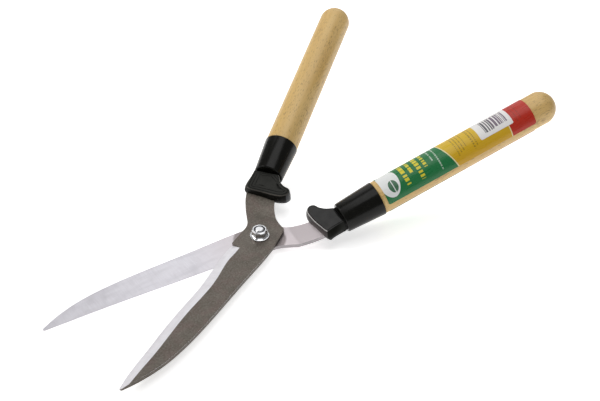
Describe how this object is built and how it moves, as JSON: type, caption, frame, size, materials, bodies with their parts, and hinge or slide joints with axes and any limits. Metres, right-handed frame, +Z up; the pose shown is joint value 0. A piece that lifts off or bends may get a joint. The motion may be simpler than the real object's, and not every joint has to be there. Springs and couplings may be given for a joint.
{
  "type": "hedge shears",
  "caption": "Two-handed hedge shears with crossed straight blades, cranked tangs, stop bumpers, steel ferrules and round wooden handles.",
  "frame": {"origin": "centre of the bounding box in plan, at the height of its lowest point, the pivot bolt's head", "axes": "+X along the centre line towards the blades' tips, +Z up along the pivot bolt, with the blades flat and the handles rising; the front (upper) blade points to +Y"},
  "size_m": [0.4778, 0.2918, 0.1071],
  "materials": {
    "dark_blade_steel": "satin, dark oxide",
    "bright_blade_steel": "ground, semi-bright",
    "bumper_plastic": "matte",
    "ferrule_enamel": "semi-gloss black",
    "handle_wood": "clear varnish, satin",
    "label_film": "printed, glossy laminate",
    "sticker_paper": "satin",
    "zinc_plate": "bright zinc",
    "insert_nylon": "satin"
  },
  "bodies": {
    "front_half": {"front_blade": "dark_blade_steel", "front_bumper": "bumper_plastic", "front_ferrule": "ferrule_enamel", "front_handle": "handle_wood"},
    "rear_half": {"rear_blade": "bright_blade_steel", "rear_bumper": "bumper_plastic", "rear_ferrule": "ferrule_enamel", "rear_handle": "handle_wood", "product_label": "label_film", "barcode_sticker": "sticker_paper", "pivot_bolt": "zinc_plate", "pivot_nut": "zinc_plate", "nut_insert": "insert_nylon"}
  },
  "joints": [
    {"name": "blade_pivot", "type": "hinge", "parent": "front_half", "child": "rear_half", "pos_m": [0.0319, -0.0001, 0.00815], "axis": [0, 0, 1], "range_deg": [-53, 25.8]}
  ]
}
